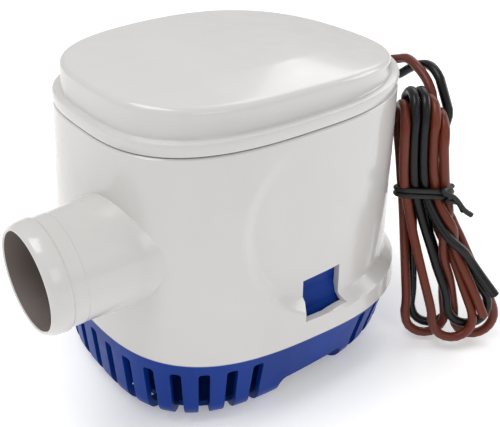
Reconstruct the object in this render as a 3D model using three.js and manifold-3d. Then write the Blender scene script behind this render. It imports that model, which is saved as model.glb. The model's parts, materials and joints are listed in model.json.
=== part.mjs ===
// Automatic electric bilge pump with a clip-on strainer base, a barbed side outlet and a two-wire lead.
// Millimetres, +Z up. The origin is the middle of the strainer's underside; the outlet points to -X,
// the front latch faces -Y and the lead leaves at +X.
import * as THREE from "three";
import { mergeVertices } from "three/addons/utils/BufferGeometryUtils.js";
import Module from "manifold-3d";

const wasm = await Module();
wasm.setup();

// ---- Driving dimensions ----
const GAP = 0.3; // clearance between touching pieces
const WALL = 2; // moulded wall thickness

const PLAN = { noseExponent: 3.0, tailExponent: 2.43, taper: 0.03, steps: 48 };
const CAP = { halfLength: 50.8, halfWidth: 38.5, seamZ: 87.2, rimTopZ: 90.9, lidInset: 2.3, topZ: 98.6 };
const SKIRT = { halfLength: 54.1, halfWidth: 45, z: 23.4, slope: -0.07 };
const RECESS = { x: 14, z: 62, reach: 37, drop: 31, rise: 27, bevel: 0.12, growX: 1.5, growY: 2.5 };
const BASE = { halfLength: 51.9, halfWidth: 40.9, topLength: 53.2, topWidth: 44.1, round: 9 };
const STRAINER_SPLIT = { x: 17, gap: GAP / 2 }; // the wall is in four nodes round the floor
const SLOT = { width: 3.3, pitch: 8.3, topZ: 20.5, slope: -0.03, inward: 8.5 };
const ARCH = { x: -0.3, halfWidth: 12.7, z: 8.5 };
const LATCH = { x: 2, width: 15, lowZ: 30.2, highZ: 41.3, tabWidth: 14.2, tabThickness: 1.8 };
const NOZZLE = { x: -75, y: -12.1, z: 56, radius: 15, bore: 13.4, rootX: -51, rootRadius: 16.1, blend: 2.1 };
const MOTOR = { x: 6, y: 0, lowZ: 46, highZ: 82, radius: 17.9, wall: 1 };
const CUP = { radius: 20.3, lowZ: 43.5, flangeZ: 68.6, flange: 2 };
const VOLUTE = { radius: 24, lowZ: 27.5, highZ: 39.5, outletX: -28, eye: 9 };
const IMPELLER = { radius: 18, vanes: 6, discZ: 33, disc: 1.5, lowZ: 28.2 };
const SHAFT_RADIUS = 1.6;
const SLEEVE = SHAFT_RADIUS + GAP; // bore of every piece on the shaft
const FLOAT = { x: 39.3, y: 0, stem: 3, radius: 8.5, lowZ: 30, height: 16 };
const GLAND = { x: 48, y: 4, z: 77.8, length: 10.5 };
const WIRE_RADIUS = 1.5;
// The hank of wire leans back in a plane: u runs across it, v up it and w out of it towards the front.
const HANK = {
  foot: [54, -56.5, 3],
  across: [0.79, -0.614, 0],
  up: [0.155, 0.192, 0.97],
  low: { u: -2.6, v: 13.6, radius: 14.6 },
  high: { u: -19.4, v: 73.4, radius: 7.8 },
  back: -5.5,
  front: 7.5,
  tieV: 49.5,
};
const CASING_SCREW = { headRadius: 3, shankRadius: 1.2, topZ: 50, bossLowZ: 41, bossHighZ: 56 };
const BASE_SCREW = { x: 26, seatRadius: 6, seatZ: 4, radius: 2.3 };
const MAGNET = { lowZ: 50, length: 24, thickness: 2.6 };
const CORE = { lowZ: 52, highZ: 71, radius: 13.2, slots: 5 };
const SCREWS = [
  { x: 28, y: 22 },
  { x: 28, y: -22 },
  { x: -14, y: 26 },
  { x: -10, y: -29.5 },
];

const LOOKS = {
  white: { color: 0xe4e2df, roughness: 0.3, metalness: 0 },
  blue: { color: 0x233c96, roughness: 0.35, metalness: 0 },
  greyPlastic: { color: 0x9a9c9e, roughness: 0.5, metalness: 0 },
  rubber: { color: 0x1c1c1d, roughness: 0.8, metalness: 0 },
  steel: { color: 0xb8bbc0, roughness: 0.3, metalness: 1 },
  darkSteel: { color: 0x55585c, roughness: 0.45, metalness: 1 },
  copper: { color: 0xb46a3c, roughness: 0.35, metalness: 1 },
  carbon: { color: 0x2a2a2c, roughness: 0.7, metalness: 0.2 },
  foam: { color: 0xd8c07a, roughness: 0.9, metalness: 0 },
  board: { color: 0x1f6b3a, roughness: 0.5, metalness: 0 },
  blackWire: { color: 0x17171a, roughness: 0.45, metalness: 0 },
  brownWire: { color: 0x5a2417, roughness: 0.45, metalness: 0 },
};

// ---- Solids from three.js geometry ----
function solid(geometry) {
  const bare = geometry.clone();
  bare.deleteAttribute("normal");
  bare.deleteAttribute("uv");
  const merged = mergeVertices(bare, 1e-4);
  const vertProperties = merged.attributes.position.array;
  const triVerts = new Uint32Array(merged.index.array);
  const made = new wasm.Manifold(new wasm.Mesh({ numProp: 3, vertProperties, triVerts }));
  if (made.volume() > 0) return made;
  for (let i = 0; i < triVerts.length; i += 3) {
    [triVerts[i + 1], triVerts[i + 2]] = [triVerts[i + 2], triVerts[i + 1]];
  }
  return new wasm.Manifold(new wasm.Mesh({ numProp: 3, vertProperties, triVerts }));
}

function cylinder(radius, lowZ, highZ, x = 0, y = 0, steps = 24) {
  const geometry = new THREE.CylinderGeometry(radius, radius, highZ - lowZ, steps);
  geometry.rotateX(Math.PI / 2);
  geometry.translate(x, y, (lowZ + highZ) / 2);
  return solid(geometry);
}

function cylinderX(radius, lowX, highX, y, z, steps = 28) {
  const geometry = new THREE.CylinderGeometry(radius, radius, highX - lowX, steps);
  geometry.rotateZ(Math.PI / 2);
  geometry.translate((lowX + highX) / 2, y, z);
  return solid(geometry);
}

function ring(outer, inner, lowZ, highZ, x = 0, y = 0, steps = 20) {
  const bore = cylinder(inner, lowZ - 1, highZ + 1, x, y, steps);
  return cylinder(outer, lowZ, highZ, x, y, steps).subtract(bore);
}

function box(low, high) {
  const size = high.map((value, i) => value - low[i]);
  const geometry = new THREE.BoxGeometry(...size);
  geometry.translate(...low.map((value, i) => value + size[i] / 2));
  return solid(geometry);
}

// A profile of [radius, along] pairs turned about the X axis through (y, z).
function turnedX(profile, y, z, steps = 28) {
  const points = profile.map(([radius, along]) => new THREE.Vector2(radius, along));
  const geometry = new THREE.LatheGeometry(points, steps);
  geometry.rotateZ(-Math.PI / 2);
  geometry.translate(0, y, z);
  return solid(geometry);
}

// An outline in the YZ plane, given as [y, z] pairs, extruded along X about the middle x.
function extrudedX(outline, x, width) {
  const shape = new THREE.Shape(outline.map(([y, z]) => new THREE.Vector2(y, z)));
  const geometry = new THREE.ExtrudeGeometry(shape, { depth: width, bevelEnabled: false });
  geometry.applyMatrix4(new THREE.Matrix4().set(0, 0, 1, x - width / 2, 1, 0, 0, 0, 0, 1, 0, 0, 0, 0, 0, 1));
  return solid(geometry);
}

function circleShape(radius) {
  const shape = new THREE.Shape();
  shape.absarc(0, 0, radius, 0, 2 * Math.PI);
  return shape;
}

function sweep(shape, points, steps, curveSegments) {
  const extrudePath = new THREE.CatmullRomCurve3(points.map((p) => new THREE.Vector3(...p)));
  return solid(new THREE.ExtrudeGeometry(shape, { steps, curveSegments, extrudePath }));
}

function union(...solids) {
  return solids.reduce((sum, next) => sum.add(next));
}

// ---- The plan outline shared by cap, housing and base ----
function planPoint(angle, halfLength, halfWidth) {
  const c = Math.cos(angle);
  const s = Math.sin(angle);
  const n = c < 0 ? PLAN.noseExponent : PLAN.tailExponent;
  const r = (Math.abs(c) ** n + Math.abs(s) ** n) ** (-1 / n);
  return { x: halfLength * r * c, y: halfWidth * r * s * (1 + PLAN.taper * r * c) };
}

// One closed ring of the plan outline; height is a number or a function of x.
function planRing(halfLength, halfWidth, height) {
  const points = [];
  for (let i = 0; i < PLAN.steps; i++) {
    const { x, y } = planPoint((2 * Math.PI * i) / PLAN.steps, halfLength, halfWidth);
    points.push(new THREE.Vector3(x, y, typeof height === "number" ? height : height(x)));
  }
  return points;
}

// A closed solid through rings of equal length, stacked upwards.
function loft(rings) {
  const n = rings[0].length;
  const index = [];
  for (let k = 0; k + 1 < rings.length; k++) {
    for (let i = 0; i < n; i++) {
      const j = (i + 1) % n;
      const low = k * n;
      index.push(low + i, low + j, low + n + j, low + i, low + n + j, low + n + i);
    }
  }
  const flat = (points) => points.map((p) => new THREE.Vector2(p.x, p.y));
  const last = (rings.length - 1) * n;
  for (const [a, b, c] of THREE.ShapeUtils.triangulateShape(flat(rings[0]), [])) index.push(c, b, a);
  for (const [a, b, c] of THREE.ShapeUtils.triangulateShape(flat(rings.at(-1)), [])) {
    index.push(last + a, last + b, last + c);
  }
  const positions = rings.flat().flatMap((p) => [p.x, p.y, p.z]);
  const geometry = new THREE.BufferGeometry();
  geometry.setAttribute("position", new THREE.Float32BufferAttribute(positions, 3));
  geometry.setIndex(index);
  return solid(geometry);
}

function plate(halfLength, halfWidth, lowZ, highZ) {
  return loft([planRing(halfLength, halfWidth, lowZ), planRing(halfLength, halfWidth, highZ)]);
}

// ---- Housing ----
const skirtZ = (x) => SKIRT.z + SKIRT.slope * x;

// How far a point of the wall lies inside the side recess: 0 outside it, 1 on its floor.
function recessDepth(x, z) {
  const across = Math.min(x - RECESS.x, 0) / RECESS.reach;
  const along = (z - RECESS.z) / (z < RECESS.z ? RECESS.drop : RECESS.rise);
  return THREE.MathUtils.clamp((1 + RECESS.bevel - Math.hypot(across, along)) / RECESS.bevel, 0, 1);
}

// A ring of the housing wall at a fraction of the way from the seam (0) to the skirt's edge (1).
function wallRing(fraction, inset) {
  const flareX = SKIRT.halfLength - CAP.halfLength;
  const flareY = SKIRT.halfWidth - CAP.halfWidth;
  const points = [];
  for (let i = 0; i < PLAN.steps; i++) {
    const angle = (2 * Math.PI * i) / PLAN.steps;
    const outer = planPoint(angle, CAP.halfLength + flareX * fraction, CAP.halfWidth + flareY * fraction);
    const z = THREE.MathUtils.lerp(CAP.seamZ, skirtZ(outer.x), fraction);
    const depth = recessDepth(outer.x, z);
    const { x, y } = planPoint(
      angle,
      CAP.halfLength + THREE.MathUtils.lerp(flareX, RECESS.growX, depth) * fraction - inset,
      CAP.halfWidth + THREE.MathUtils.lerp(flareY, RECESS.growY, depth) * fraction - inset,
    );
    points.push(new THREE.Vector3(x, y, z));
  }
  return points;
}

function wallSolid(inset, lowExtra, highExtra) {
  const fractions = [1, 0.93, 0.885, 0.84, 0.76, 0.62, 0.4, 0];
  const rings = fractions.map((fraction) => wallRing(fraction, inset));
  if (lowExtra) rings.unshift(rings[0].map((p) => new THREE.Vector3(p.x, p.y, p.z - lowExtra)));
  if (highExtra) rings.push(rings.at(-1).map((p) => new THREE.Vector3(p.x, p.y, p.z + highExtra)));
  return loft(rings);
}

function mainHousing() {
  const outer = wallSolid(0, 0, 0).subtract(plate(60, 60, CAP.seamZ - GAP, CAP.seamZ + 5));
  const wallX = -CAP.halfLength + 7.6; // inner end of the outlet, inside the wall
  const lip = 0.6;
  const nozzle = turnedX(
    [
      [0, wallX],
      [NOZZLE.rootRadius + NOZZLE.blend, wallX],
      [NOZZLE.rootRadius + NOZZLE.blend * 0.55, wallX - 2],
      [NOZZLE.rootRadius + NOZZLE.blend * 0.2, wallX - 4.4],
      [NOZZLE.rootRadius, NOZZLE.rootX],
      [NOZZLE.radius, NOZZLE.x + 9],
      [NOZZLE.radius, NOZZLE.x + 6.2],
      [NOZZLE.radius + 0.5, NOZZLE.x + 5.4],
      [NOZZLE.radius, NOZZLE.x + 1.2],
      [NOZZLE.radius - lip, NOZZLE.x],
      [0, NOZZLE.x],
    ],
    NOZZLE.y,
    NOZZLE.z,
  );
  const cavity = wallSolid(WALL, 5, 5);
  const bore = cylinderX(NOZZLE.bore, NOZZLE.x - 1, wallX + 3, NOZZLE.y, NOZZLE.z);
  let shell = outer.subtract(cavity).add(nozzle.subtract(cavity));
  for (const { x, y } of SCREWS) {
    const side = Math.sign(y);
    const { bossLowZ, bossHighZ, topZ } = CASING_SCREW;
    const rib = box([x - 1.2, Math.min(y, side * 60), bossLowZ], [x + 1.2, Math.max(y, side * 60), bossHighZ]);
    const boss = cylinder(3.4, bossLowZ, bossHighZ, x, y, 12);
    const pilot = cylinder(CASING_SCREW.shankRadius + GAP, bossLowZ - 1, topZ + 2, x, y, 8);
    shell = shell.add(outer.intersect(rib)).add(boss).subtract(pilot);
  }
  for (const side of [-1, 1]) {
    const low = [LATCH.x - LATCH.width / 2, Math.min(side * 32, side * 50), LATCH.lowZ];
    const high = [LATCH.x + LATCH.width / 2, Math.max(side * 32, side * 50), LATCH.highZ];
    shell = shell.subtract(box(low, high));
  }
  const glandHole = cylinderX(4 + GAP, 44, 56, GLAND.y, GLAND.z, 16);
  return shell.subtract(bore).subtract(glandHole);
}

// ---- Cap: a rim over the seam and a domed lid that thins towards the tail ----
function lidRing(inset, fraction) {
  const points = [];
  const halfLength = CAP.halfLength - CAP.lidInset - inset;
  const halfWidth = CAP.halfWidth - CAP.lidInset - inset;
  for (let i = 0; i < PLAN.steps; i++) {
    const { x, y } = planPoint((2 * Math.PI * i) / PLAN.steps, halfLength, halfWidth);
    const nose = CAP.topZ + 1.1; // height of the lid's edge at the nose
    const tail = CAP.rimTopZ + 3;
    const edge = THREE.MathUtils.lerp(nose, tail, THREE.MathUtils.smoothstep(x, -10, CAP.halfLength));
    points.push(new THREE.Vector3(x, y, THREE.MathUtils.lerp(CAP.rimTopZ, edge, fraction)));
  }
  return points;
}

function topCap() {
  const rimEdge = 0.7;
  const { halfLength, halfWidth, seamZ, rimTopZ } = CAP;
  const shell = loft([
    planRing(halfLength - rimEdge / 2, halfWidth - rimEdge / 2, seamZ),
    planRing(halfLength, halfWidth, seamZ + rimEdge / 2),
    planRing(halfLength, halfWidth, rimTopZ - rimEdge),
    planRing(halfLength - rimEdge, halfWidth - rimEdge, rimTopZ),
    lidRing(0, 0),
    lidRing(0.5, 0.72),
    lidRing(1.4, 0.92),
    lidRing(3.2, 1),
  ]);
  const spigot = plate(halfLength - WALL - 0.4, halfWidth - WALL - 0.4, 84.2, seamZ + 0.5);
  const inset = WALL * 2 + 0.4;
  const hollow = loft([
    planRing(halfLength - inset, halfWidth - inset, 83),
    planRing(halfLength - inset, halfWidth - inset, rimTopZ),
    lidRing(inset, 0.3),
    lidRing(inset + 3, 0.55),
  ]);
  return shell.add(spigot).subtract(hollow);
}

// ---- Strainer base ----
function baseRing(inset, z) {
  return planRing(BASE.halfLength - inset, BASE.halfWidth - inset, z);
}

function baseBowl(inset) {
  const radius = BASE.round - inset;
  const parts = inset > 0 ? [0, 0.6, 1] : [0, 0.33, 0.67, 1];
  const rings = parts.map((part) => {
    const angle = (part * Math.PI) / 2;
    return baseRing(BASE.round - radius * Math.sin(angle), BASE.round - radius * Math.cos(angle));
  });
  const lift = inset > 0 ? 2 : -GAP;
  rings.push(planRing(BASE.topLength - inset, BASE.topWidth - inset, (x) => skirtZ(x) + lift));
  return loft(rings);
}

function slotCutters() {
  const cutters = [];
  const samples = 720;
  let travelled = SLOT.pitch / 2;
  let before = planPoint(0, BASE.topLength, BASE.topWidth);
  for (let i = 1; i <= samples; i++) {
    const now = planPoint((2 * Math.PI * i) / samples, BASE.topLength, BASE.topWidth);
    const step = Math.hypot(now.x - before.x, now.y - before.y);
    travelled += step;
    const clearOfPanel = Math.abs(now.x - ARCH.x) > ARCH.halfWidth + SLOT.width || Math.abs(now.y) < 20;
    if (travelled >= SLOT.pitch) {
      travelled -= SLOT.pitch;
      if (clearOfPanel) {
        const height = SLOT.topZ + SLOT.slope * now.x + 2;
        const geometry = new THREE.BoxGeometry(SLOT.inward + 4, SLOT.width, height);
        geometry.translate(-(SLOT.inward + 4) / 2 + 2, 0, height / 2 - 2);
        geometry.rotateZ(Math.atan2(now.y - before.y, now.x - before.x) - Math.PI / 2);
        geometry.translate(now.x, now.y, 0);
        cutters.push(solid(geometry));
      }
    }
    before = now;
  }
  return cutters;
}

function strainerBase() {
  const lipLength = SKIRT.halfLength - WALL - 0.9;
  const lipWidth = SKIRT.halfWidth - WALL - 0.9;
  const lipTop = (x) => skirtZ(x) + 4;
  const lip = loft([planRing(lipLength, lipWidth, 20), planRing(lipLength - 0.8, lipWidth - 0.8, lipTop)]);
  const lipBore = loft([planRing(lipLength - 2, lipWidth - 2, 19), planRing(lipLength - 2.8, lipWidth - 2.8, 40)]);
  let base = baseBowl(0).subtract(baseBowl(WALL)).add(lip.subtract(lipBore));
  for (const cutter of slotCutters()) base = base.subtract(cutter);
  for (const side of [-1, 1]) {
    const arch = box(
      [ARCH.x - ARCH.halfWidth, Math.min(side * 33, side * 60), -1],
      [ARCH.x + ARCH.halfWidth, Math.max(side * 33, side * 60), ARCH.z],
    );
    const tabSlot = box(
      [LATCH.x - LATCH.width / 2 - 0.4, Math.min(side * 34, side * 42.7), 22],
      [LATCH.x + LATCH.width / 2 + 0.4, Math.max(side * 34, side * 42.7), 40],
    );
    base = base.subtract(arch).subtract(tabSlot);
  }
  for (const side of [-1, 1]) {
    const x = side * BASE_SCREW.x;
    const seat = cylinder(BASE_SCREW.seatRadius, 0.5, BASE_SCREW.seatZ, x, 0, 20);
    base = base.add(seat).subtract(cylinder(BASE_SCREW.radius, -1, BASE_SCREW.seatZ + 2, x, 0, 12));
  }
  return base;
}

// The strainer as its floor and four stretches of wall, which keep the usual gap between them.
function strainerPieces() {
  const base = strainerBase();
  const { x, gap } = STRAINER_SPLIT;
  const floorOf = (grow) => plate(BASE.halfLength - BASE.round + grow, BASE.halfWidth - BASE.round + grow, -1, 10);
  const wall = base.subtract(floorOf(gap));
  const stretch = (lowX, highX, lowY, highY) => wall.intersect(box([lowX, lowY, -1], [highX, highY, 60]));
  return {
    strainer_floor: base.intersect(floorOf(-gap)),
    strainer_wall_nose: stretch(-70, -x - gap, -70, 70),
    strainer_wall_tail: stretch(x + gap, 70, -70, 70),
    strainer_wall_front: stretch(-x + gap, x - gap, -70, 0),
    strainer_wall_rear: stretch(-x + gap, x - gap, 0, 70),
  };
}

// A springy tab that stands behind the housing's window; side is -1 at the front, 1 at the rear.
function latchTab(side) {
  const face = [
    [41.9, 22.4],
    [41.5, 26.5],
    [39.2, 30],
    [37.6, 35.5],
    [38, 44],
  ];
  const outline = [...face, ...face.map(([y, z]) => [y - LATCH.tabThickness, z]).reverse()];
  return extrudedX(outline.map(([y, z]) => [side * y, z]), LATCH.x, LATCH.tabWidth);
}

// ---- Wet end ----
function voluteOutline(grow, lowZ, highZ) {
  const drum = cylinder(VOLUTE.radius + grow, lowZ, highZ, MOTOR.x, MOTOR.y, 32);
  const reach = VOLUTE.outletX - 12.5 - grow;
  const channel = box([reach, NOZZLE.y - 12.5 - grow, lowZ], [MOTOR.x - 10, NOZZLE.y + 12.5 + grow, highZ]);
  return drum.add(channel);
}

function screwEars(lowZ, highZ) {
  const ears = SCREWS.map(({ x, y }) => {
    const ear = cylinder(3.8, lowZ, highZ, x, y, 12);
    const arm = box([0, -2.5, lowZ], [Math.hypot(x - MOTOR.x, y), 2.5, highZ]);
    const turned = arm.rotate([0, 0, THREE.MathUtils.radToDeg(Math.atan2(y, x - MOTOR.x))]);
    return ear.add(turned.translate([MOTOR.x, 0, 0]));
  });
  return union(...ears);
}

function screwHoles(lowZ, highZ) {
  return union(...SCREWS.map(({ x, y }) => cylinder(1.6, lowZ, highZ, x, y, 10)));
}

function voluteCasing() {
  const { lowZ, highZ } = VOLUTE;
  const outer = voluteOutline(0, lowZ, highZ).add(screwEars(lowZ, highZ - 7));
  const chamber = voluteOutline(-WALL, lowZ - 1, highZ - WALL);
  const outlet = cylinder(10.6, highZ - 4, highZ + 1, VOLUTE.outletX, NOZZLE.y);
  const shaftHole = cylinder(5.5, highZ - 4, highZ + 1, MOTOR.x, MOTOR.y, 16);
  return outer.subtract(chamber).subtract(outlet).subtract(shaftHole).subtract(screwHoles(lowZ - 1, highZ));
}

function inletPlate() {
  const highZ = VOLUTE.lowZ - GAP;
  const lowZ = highZ - WALL;
  const plateSolid = voluteOutline(0, lowZ, highZ).add(screwEars(lowZ, highZ));
  const eye = cylinder(VOLUTE.eye, lowZ - 3, highZ + 1, MOTOR.x, MOTOR.y);
  const throat = ring(VOLUTE.eye + 1.6, VOLUTE.eye, lowZ - 2.5, lowZ + 0.5, MOTOR.x, MOTOR.y, 24);
  return plateSolid.subtract(eye).add(throat).subtract(screwHoles(lowZ - 1, highZ + 1));
}

function casingScrew({ x, y }) {
  const headZ = VOLUTE.lowZ - 2 * GAP - WALL;
  const head = cylinder(CASING_SCREW.headRadius, headZ - 2, headZ, x, y, 16);
  const recess = union(
    box([x - 1.7, y - 0.35, headZ - 3], [x + 1.7, y + 0.35, headZ - 1]),
    box([x - 0.35, y - 1.7, headZ - 3], [x + 0.35, y + 1.7, headZ - 1]),
  );
  return head.add(cylinder(CASING_SCREW.shankRadius, headZ - 0.5, CASING_SCREW.topZ, x, y, 8)).subtract(recess);
}

function impeller() {
  const { radius, vanes, discZ, disc, lowZ } = IMPELLER;
  let wheel = cylinder(radius, discZ, discZ + disc, MOTOR.x, MOTOR.y, 28);
  wheel = wheel.add(cylinder(4.2, lowZ + 0.4, discZ + disc + 2, MOTOR.x, MOTOR.y, 16));
  for (let i = 0; i < vanes; i++) {
    const vane = new THREE.Shape();
    const start = 4;
    const thick = 1.3;
    vane.moveTo(start - 1, 0);
    vane.quadraticCurveTo(radius * 0.6, 0.5, radius - 1.2, -6.5);
    vane.lineTo(radius - 0.6, -6.5 + thick);
    vane.quadraticCurveTo(radius * 0.62, 0.5 + thick, start - 1, thick);
    vane.closePath();
    const geometry = new THREE.ExtrudeGeometry(vane, {
      depth: discZ - lowZ + 0.2,
      bevelEnabled: false,
      curveSegments: 4,
    });
    geometry.rotateZ((2 * Math.PI * i) / vanes);
    geometry.translate(MOTOR.x, MOTOR.y, lowZ);
    wheel = wheel.add(solid(geometry));
  }
  return wheel.subtract(cylinder(SLEEVE, lowZ - 1, discZ + 8, MOTOR.x, MOTOR.y, 16));
}

function dischargeElbow() {
  const bend = 15.6;
  const startZ = VOLUTE.highZ + GAP;
  const points = [[VOLUTE.outletX, NOZZLE.y, startZ]];
  for (let i = 0; i <= 4; i++) {
    const angle = (i * Math.PI) / 8;
    const x = VOLUTE.outletX - bend * (1 - Math.cos(angle));
    points.push([x, NOZZLE.y, NOZZLE.z - bend + bend * Math.sin(angle)]);
  }
  points.push([-49, NOZZLE.y, NOZZLE.z]);
  const wall = circleShape(12.2);
  wall.holes.push(circleShape(10.6));
  return sweep(wall, points, 9, 9);
}

// ---- Motor and its chamber ----
function motorCup() {
  const { radius, lowZ, flangeZ, flange } = CUP;
  const { halfLength, halfWidth } = CAP;
  const inset = WALL + 0.5;
  const cup = plate(halfLength - inset, halfWidth - inset, flangeZ, flangeZ + flange)
    .add(cylinder(radius, lowZ, flangeZ + 1, MOTOR.x, MOTOR.y, 28))
    .subtract(cylinder(MOTOR.radius + 0.6, lowZ + WALL, flangeZ + 5, MOTOR.x, MOTOR.y, 28))
    .subtract(cylinder(3.4, lowZ - 1, lowZ + 4, MOTOR.x, MOTOR.y, 16));
  return cup.subtract(cylinder(FLOAT.stem + GAP, flangeZ - 1, flangeZ + 4, FLOAT.x, FLOAT.y, 16));
}

function chamberSeal() {
  const { halfLength, halfWidth } = CAP;
  const lowZ = CUP.flangeZ + CUP.flange + GAP;
  const outer = plate(halfLength - 2.6, halfWidth - 2.6, lowZ, lowZ + 1.8);
  return outer.subtract(plate(halfLength - 4.4, halfWidth - 4.4, lowZ - 1, lowZ + 3));
}

function motorCan() {
  const { radius, wall, lowZ, highZ } = MOTOR;
  const can = cylinder(radius, lowZ, highZ, MOTOR.x, MOTOR.y, 32);
  const inside = cylinder(radius - wall, lowZ + 1.2, highZ + 1, MOTOR.x, MOTOR.y, 32);
  return can.subtract(inside).subtract(cylinder(4.5, lowZ - 1, lowZ + 3, MOTOR.x, MOTOR.y, 16));
}

function motorEndCap() {
  const lowZ = MOTOR.highZ + GAP;
  const lid = cylinder(MOTOR.radius, lowZ, lowZ + 2.7, MOTOR.x, MOTOR.y, 32);
  return lid.subtract(cylinder(4.5, lowZ - 1, lowZ + 4, MOTOR.x, MOTOR.y, 16));
}

function arcMagnet(middleAngle) {
  const half = THREE.MathUtils.degToRad(58);
  const outer = MOTOR.radius - MOTOR.wall - GAP;
  const shape = new THREE.Shape();
  shape.absarc(0, 0, outer, middleAngle - half, middleAngle + half, false);
  shape.absarc(0, 0, outer - MAGNET.thickness, middleAngle + half, middleAngle - half, true);
  shape.closePath();
  const geometry = new THREE.ExtrudeGeometry(shape, { depth: MAGNET.length, bevelEnabled: false, curveSegments: 8 });
  geometry.translate(MOTOR.x, MOTOR.y, MAGNET.lowZ);
  return solid(geometry);
}

function armatureCore() {
  let core = cylinder(CORE.radius, CORE.lowZ, CORE.highZ, MOTOR.x, MOTOR.y, 30);
  for (let i = 0; i < CORE.slots; i++) {
    const slot = new THREE.BoxGeometry(8, 3.4, 30);
    slot.translate(CORE.radius - 2.2, 0, (CORE.lowZ + CORE.highZ) / 2);
    slot.rotateZ((2 * Math.PI * i) / CORE.slots);
    slot.translate(MOTOR.x, MOTOR.y, 0);
    core = core.subtract(solid(slot));
  }
  return core.subtract(cylinder(SLEEVE, 40, 90, MOTOR.x, MOTOR.y, 20));
}

function onShaft(radius, lowZ, highZ, steps = 16) {
  return ring(radius, SLEEVE, lowZ, highZ, MOTOR.x, MOTOR.y, steps);
}

function brush(side) {
  const near = 5 + GAP;
  const x = [MOTOR.x + side * near, MOTOR.x + side * (near + 7)].sort((a, b) => a - b);
  return box([x[0], MOTOR.y - 2, 77], [x[1], MOTOR.y + 2, 80]);
}

// ---- Float switch ----
function floatStem() {
  const stem = cylinder(FLOAT.stem, 26.5, CUP.flangeZ + 3.2, FLOAT.x, FLOAT.y, 24);
  const head = cylinder(5.5, CUP.flangeZ + CUP.flange + GAP, CUP.flangeZ + 4.3, FLOAT.x, FLOAT.y, 24);
  return stem.add(head).subtract(cylinder(1.8, 40, CUP.flangeZ + 8, FLOAT.x, FLOAT.y, 20));
}

// ---- Lead ----
const glandEnd = GLAND.x + GLAND.length;
const LEADS = {
  wire_black_lead: [
    [glandEnd + GAP, GLAND.y, GLAND.z - 1.9],
    [glandEnd + 2, GLAND.y, GLAND.z - 1.9],
    [63.4, -2.5, 75.6],
    [64.4, -8, 77.6],
    [64.2, -12, 80.8],
    [63.6, -16.6, 83.8],
    [62, -22.6, 85.4],
    [60.4, -27.9, 83.1],
  ],
  wire_brown_lead: [
    [glandEnd + GAP, GLAND.y, GLAND.z + 1.9],
    [glandEnd + 2, GLAND.y, GLAND.z + 1.9],
    [62.6, -2, 81.4],
    [62.6, -8.3, 83.6],
    [61.3, -13.2, 85.5],
    [59.4, -18.3, 85.3],
    [58, -24.5, 82.6],
  ],
};

function cableGland() {
  const { x, y, z, length } = GLAND;
  return turnedX(
    [
      [0, x - 3],
      [4.8, x - 3],
      [4.8, x - 0.4],
      [4, x - 0.4],
      [4, x + 3.2],
      [5.2, x + 3.2],
      [5.2, x + 5],
      [4.4, x + 6],
      [3.7, x + length],
      [0, x + length],
    ],
    y,
    z,
    28,
  );
}

function hankFrame() {
  const across = new THREE.Vector3(...HANK.across).normalize();
  const rough = new THREE.Vector3(...HANK.up);
  const up = rough.addScaledVector(across, -rough.dot(across)).normalize();
  const out = new THREE.Vector3().crossVectors(across, up);
  return new THREE.Matrix4().makeBasis(across, up, out).setPosition(...HANK.foot);
}

// The hank's outline, two arcs and their common tangents, grown and extruded in the hank's plane.
function hankSolid(grow) {
  const { low, high } = HANK;
  const toHigh = Math.atan2(high.v - low.v, high.u - low.u);
  const taper = Math.asin((low.radius - high.radius) / Math.hypot(high.u - low.u, high.v - low.v));
  const right = toHigh - Math.PI / 2 + taper;
  const left = toHigh + Math.PI / 2 - taper;
  const shape = new THREE.Shape();
  shape.absarc(high.u, high.v, high.radius + grow, right, left, false);
  shape.absarc(low.u, low.v, low.radius + grow, left, right + 2 * Math.PI, false);
  shape.closePath();
  const depth = HANK.front - HANK.back + 2 * grow;
  const geometry = new THREE.ExtrudeGeometry(shape, { depth, bevelEnabled: false, curveSegments: 9 });
  geometry.translate(0, 0, HANK.back - grow);
  geometry.applyMatrix4(hankFrame());
  return solid(geometry);
}

function cableTie() {
  const thickness = 1;
  const geometry = new THREE.BoxGeometry(80, 3.6, 80);
  geometry.translate(0, HANK.tieV, 0);
  geometry.applyMatrix4(hankFrame());
  return hankSolid(GAP + thickness).subtract(hankSolid(GAP)).intersect(solid(geometry));
}

// ---- Assembly ----
const pump = new THREE.Group();

function addPiece(name, shape, look) {
  const { vertProperties, triVerts } = shape.getMesh();
  const geometry = new THREE.BufferGeometry();
  geometry.setAttribute("position", new THREE.BufferAttribute(vertProperties, 3));
  geometry.setIndex(new THREE.BufferAttribute(triVerts, 1));
  geometry.computeVertexNormals();
  const mesh = new THREE.Mesh(geometry, new THREE.MeshStandardMaterial(LOOKS[look]));
  mesh.name = name;
  pump.add(mesh);
}

for (const [name, shape] of Object.entries(strainerPieces())) addPiece(name, shape, "blue");
addPiece("latch_tab_front", latchTab(-1), "blue");
addPiece("latch_tab_rear", latchTab(1), "blue");

addPiece("main_housing", mainHousing(), "white");
addPiece("top_cap", topCap(), "white");
addPiece("chamber_seal", chamberSeal(), "rubber");
addPiece("volute_casing", voluteCasing(), "greyPlastic");
addPiece("inlet_plate", inletPlate(), "greyPlastic");
addPiece("discharge_elbow", dischargeElbow(), "greyPlastic");
SCREWS.forEach((place, i) => addPiece("casing_screw_" + (i + 1), casingScrew(place), "steel"));

addPiece("motor_cup", motorCup(), "greyPlastic");
addPiece("motor_can", motorCan(), "steel");
addPiece("motor_end_cap", motorEndCap(), "greyPlastic");
addPiece("magnet_left", arcMagnet(Math.PI), "darkSteel");
addPiece("magnet_right", arcMagnet(0), "darkSteel");
addPiece("bearing_lower", onShaft(4.2, 46.4, 48.6), "steel");
addPiece("bearing_upper", onShaft(4.2, 82.5, 84.8), "steel");
addPiece("brush_left", brush(-1), "carbon");
addPiece("brush_right", brush(1), "carbon");
addPiece("shaft_seal", onShaft(5, VOLUTE.highZ + GAP, CUP.lowZ - GAP), "rubber");

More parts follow.
